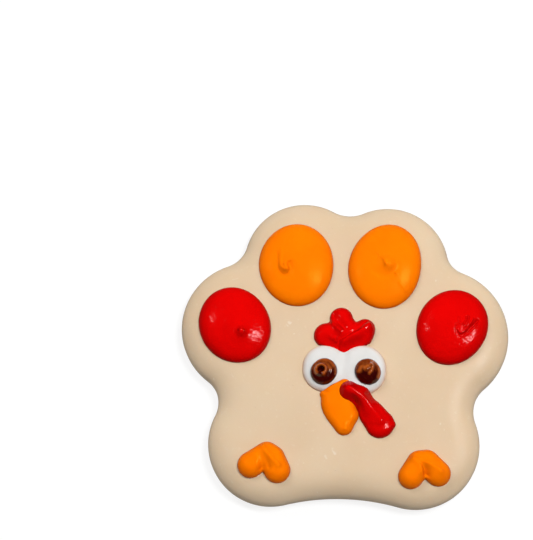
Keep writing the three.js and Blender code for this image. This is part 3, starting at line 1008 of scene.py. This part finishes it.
# the wide dots dried with a fine grain on their gloss
icingLooks["red_dots"] = dict(icingLooks["red_icing"], grain=(0.20, 1100.0), seedShift=4.6)
icingLooks["orange_dots"] = dict(icingLooks["orange_icing"], roughness=(0.21, 0.31), grain=(0.07, 1100.0))
icingLooks["red_wattle"] = dict(
    icingLooks["red_icing"], colours=((0.70, 0.0009, 0.0007, 1.0), (0.63, 0.0007, 0.0005, 1.0)),
    deepBelow=(0.50, 1.0), seedShift=2.2,
)
icingSkin = {
    "driftScale": 120.0, "roughScale": 320.0, "skinScale": 420.0, "patchScale": 170.0,
    "streakScale": 700.0, "streaks": 0.16, "subsurfaceReach": 1.8 * mm,
}


def icingMaterial(name):
    look = icingLooks[name]
    skin = icingSkin
    material, tree, shader, space = newMaterial(name)
    shifted = addNode(tree, "ShaderNodeMapping", {
        "Vector": space, "Location": (look["seedShift"], 0.0, 0.0),
    }).outputs[0]
    drift = uneven(tree, shifted, skin["driftScale"], 3.0, (0.0, 1.0), 0.4)
    colour = blendColours(tree, drift, *look["colours"])
    if "deep" in look:
        # painted shade: the steeper the side, the more it is darkened, as if it were in shade
        steep = ramp(tree, facingUp(tree), *look["deepBelow"], 1.0, 0.0)
        colour = blendColours(tree, steep, colour, look["deep"])
    # painted light on the beads, broken up by streaky noise
    if "pale" in look:
        painted = addNode(tree, "ShaderNodeAttribute", {}, attribute_name="pale").outputs["Fac"]
        streaks = uneven(tree, shifted, skin["streakScale"], 3.0, (-skin["streaks"], skin["streaks"]), 1.0)
        streaked = calc(tree, "ADD", painted, streaks)
        colour = blendColours(tree, ramp(tree, streaked, 0.08, 0.95, 0.0, 1.0), colour, look["pale"])
    ripples = bump(tree, noise(tree, shifted, skin["skinScale"], 3.0), look["skin"] * mm, 0.4)
    patches = ramp(tree, noise(tree, shifted, skin["patchScale"], 1.0), 0.40, 0.60, 0.40, 1.0)
    grainHeight, grainScale = look["grain"]
    grain = calc(tree, "MULTIPLY", noise(tree, shifted, grainScale, 1.0), patches)
    fill(tree, shader, {
        "Base Color": colour,
        "Roughness": uneven(tree, shifted, skin["roughScale"], 4.0, look["roughness"]),
        "Subsurface Weight": look["subsurface"],
        "Subsurface Radius": look["tint"],
        "Subsurface Scale": skin["subsurfaceReach"],
        "Specular IOR Level": look["specular"],
        "Specular Tint": look["gloss"],
        "Normal": bump(tree, grain, grainHeight * mm, 0.6, ripples),
    })
    return material


materials = {"cream_coating": coatingMaterial()}
for name in icingLooks:
    materials[name] = icingMaterial(name)
print("materials made:", ", ".join(materials))

toeTree, toeSockets = dotTree()
for node, dot in toeDots.items():
    piece = makeByRule("icing_" + node, toeTree, toeSockets, {
        "Coating": coating, "Icing": materials[dot["slot"]],
        "Middle X": dot["x"] * mm, "Middle Y": dot["y"] * mm,
        "Across": dot["across"] * mm, "Along": dot["along"] * mm, "Turn": math.radians(dot["turn"]),
        "Egg": dot["egg"], "Egg Turn": math.radians(dot["eggTurn"]),
        "Height": dotShape["height"] * mm, "Cone": dotShape["cone"] * mm, "Sink": icing["sink"] * mm,
        "Roundness": dotShape["roundness"], "Underside Share": dotShape["undersideShare"],
        "Spokes": dotShape["spokes"], "Rings": dotShape["rings"],
    })
    faceOutwards(piece)
    addTip(piece, dot)
    pieces[node] = (piece, dot["slot"])
print("toe dots made:", len(toeDots))


# Tiny lumps and crumbs that the coating ran over, scattered on its top

lumps = {
    "perSquareMetre": 7000.0, "smallest": 0.06, "largest": 0.18, "lift": 0.3, "stretch": 1.6,
    "upward": 0.35,                      # only where the coating faces up at least this much
    "seed": 11,
}


def lumpTree():
    tree, sockets = newTree("coatingLumps", {
        "Object": ("Coating",),
        "Material": ("Skin",),
        "Float": ("Density", "Smallest", "Largest", "Lift", "Stretch", "Upward"),
        "Int": ("Seed",),
    })
    given = tree.nodes.new("NodeGroupInput").outputs
    base = addNode(tree, "GeometryNodeObjectInfo", {"Object": given["Coating"]})
    normal = tree.nodes.new("GeometryNodeInputNormal").outputs[0]
    upward = splitVector(tree, normal)[2]
    scattered = addNode(tree, "GeometryNodeDistributePointsOnFaces", {
        "Mesh": base.outputs["Geometry"],
        "Selection": calc(tree, "GREATER_THAN", upward, given["Upward"]),
        "Density": given["Density"],
        "Seed": given["Seed"],
    })
    grain = addNode(tree, "GeometryNodeMeshIcoSphere", {"Radius": 1.0, "Subdivisions": 2})
    # inputs 2 and 3 and output 1 of this node are its plain numbers
    size = addNode(tree, "FunctionNodeRandomValue", {
        2: given["Smallest"], 3: given["Largest"], "Seed": given["Seed"],
    }, data_type="FLOAT").outputs[1]
    stretched = calc(tree, "MULTIPLY", size, given["Stretch"])
    lifted = calc(tree, "MULTIPLY", size, given["Lift"])
    placed = addNode(tree, "GeometryNodeInstanceOnPoints", {
        "Points": scattered.outputs["Points"],
        "Instance": grain.outputs["Mesh"],
        "Rotation": scattered.outputs["Rotation"],
        "Scale": joinVector(tree, stretched, size, lifted),
    })
    endTree(tree, placed.outputs[0], given["Skin"])
    return tree, sockets


coatingLumps = makeByRule("coating_lumps", *lumpTree(), {
    "Coating": coating, "Skin": materials["cream_coating"], "Density": lumps["perSquareMetre"],
    "Smallest": lumps["smallest"] * mm, "Largest": lumps["largest"] * mm, "Lift": lumps["lift"],
    "Stretch": lumps["stretch"], "Upward": lumps["upward"], "Seed": lumps["seed"],
})
print("lumps made:", len(coatingLumps.data.vertices), "points")

pieces["coated_biscuit"] = (coating, "cream_coating")
pieces["coating_lumps"] = (coatingLumps, "cream_coating")
ownLooks = {
    "dot_left": "red_dots", "dot_right": "red_dots", "wattle": "red_wattle",
    "dot_upper_left": "orange_dots", "dot_upper_right": "orange_dots",
}
for node, (piece, slotName) in pieces.items():
    piece.data.materials.clear()
    piece.data.materials.append(materials[ownLooks.get(node, slotName)])
    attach(piece, "root")
    if piece is not coatingLumps:
        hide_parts(node)


# Floor, light and camera

studio = {
    "floorSize": 3.0,
    "floorDrop": 0.02 * mm,              # keeps it clear of the cookie's underside
    "floorColours": ((0.17, 0.17, 0.17, 1.0), (0.18, 0.18, 0.18, 1.0)),
    "floorGlow": 0.83,
    "skyStrength": 0.115,
    "skySeen": 1.0,                      # as bright as the floor where it shows above it
    "skyGloss": 0.35,                    # and how much of it the icing's gloss picks up
    "skyColour": (1.0, 1.0, 1.0, 1.0),
}


def makeFloor():
    half = studio["floorSize"] / 2
    mesh = bpy.data.meshes.new("floor")
    corners = [(-half, -half, 0), (half, -half, 0), (half, half, 0), (-half, half, 0)]
    mesh.from_pydata(corners, [], [(0, 1, 2, 3)])
    floor = addObject("floor", mesh)
    floor.location.z = -studio["floorDrop"]
    material, tree, shader, space = newMaterial("pale_floor")
    shade = uneven(tree, space, 12.0, 2.0, (0.97, 1.0))
    fill(tree, shader, {
        "Base Color": blendColours(tree, shade, *studio["floorColours"]),
        "Roughness": 0.9,
        "Emission Color": studio["skyColour"],
        "Emission Strength": studio["floorGlow"],
    })
    mesh.materials.append(material)
    floor.visible_glossy = False         # no floor in the gloss of the icing


lamps = {
    # azimuth, height angle, distance, width, length, watts, whether it lights or only gleams
    "key": (22, 69, 1.0, 0.26, 0.30, 7.5, "lights"),
    "left_box": (138, 45, 1.0, 0.20, 0.34, 3.7, "lights"),
    "right_box": (0, 40, 1.0, 0.24, 0.24, 0.8, "lights"),
    "right_strip": (-3, 59, 1.0, 0.20, 0.27, 8.8, "gleams"),
    "left_strip": (160, 49, 1.0, 0.06, 0.14, 0.9, "gleams"),
}


def makeLights():
    world = bpy.data.worlds.new("studio")
    bpy.context.scene.world = world
    world.use_nodes = True
    tree = world.node_tree
    rays = tree.nodes.new("ShaderNodeLightPath").outputs
    seen = ramp(tree, rays["Is Camera Ray"], 0.0, 1.0, studio["skyStrength"], studio["skySeen"])
    mirrored = ramp(tree, rays["Is Glossy Ray"], 0.0, 1.0, 1.0, studio["skyGloss"])
    strength = calc(tree, "MULTIPLY", seen, mirrored)
    fill(tree, tree.nodes["Background"], {"Color": studio["skyColour"], "Strength": strength})
    for name, (azimuth, raised, distance, width, length, watts, task) in lamps.items():
        light = bpy.data.lights.new(name, "AREA")
        light.shape = "RECTANGLE"
        light.size, light.size_y = width, length
        light.energy = watts
        lamp = addObject(name, light)
        flat = math.cos(math.radians(raised))
        outward = Vector((
            flat * math.cos(math.radians(azimuth)),
            flat * math.sin(math.radians(azimuth)),
            math.sin(math.radians(raised)),
        ))
        lamp.visible_glossy = task == "gleams"
        lamp.visible_diffuse = task == "lights"
        lamp.location = outward * distance
        lamp.rotation_euler = (-outward).to_track_quat("-Z", "Y").to_euler()


view = {
    "imageWidth": 533, "imageHeight": 540,
    "focal": 120.0, "sensor": 36.0,
    "nearest": 0.01, "farthest": 20.0,
    "tilt": 12.0,                        # degrees from straight down
    "pixelsPerMm": 3.25,
    "aim": (0.05, -0.99, 5.5),           # this point of the cookie, in mm
    "aimPixel": (344.4, 356.4),          # is seen at this pixel
}


def makeCamera():
    v = view
    focalPixels = v["focal"] / v["sensor"] * max(v["imageWidth"], v["imageHeight"])
    distance = focalPixels / v["pixelsPerMm"]
    tilt = math.radians(v["tilt"])
    back = Vector((0, -math.sin(tilt), math.cos(tilt)))
    up = Vector((0, math.cos(tilt), math.sin(tilt)))
    right = Vector((1, 0, 0))
    aim = Vector(v["aim"])
    place = aim + distance * back
    offRight = v["aimPixel"][0] - v["imageWidth"] / 2
    offDown = v["aimPixel"][1] - v["imageHeight"] / 2
    target = aim + (offDown * up - offRight * right) * distance / focalPixels
    forward = (target - place).normalized()
    across = forward.cross(up).normalized()
    upward = across.cross(forward)
    camera = addObject("camera", bpy.data.cameras.new("camera"))
    camera.data.lens = v["focal"]
    camera.data.sensor_width = v["sensor"]
    camera.data.sensor_fit = "AUTO"
    camera.data.clip_start, camera.data.clip_end = v["nearest"], v["farthest"]
    turn = Matrix((across, upward, -forward)).transposed().to_4x4()
    camera.matrix_world = Matrix.Translation(place * mm) @ turn
    bpy.context.scene.camera = camera


makeFloor()
makeLights()
makeCamera()
bpy.context.scene.view_settings.view_transform = "Standard"
print("floor, light and camera made")
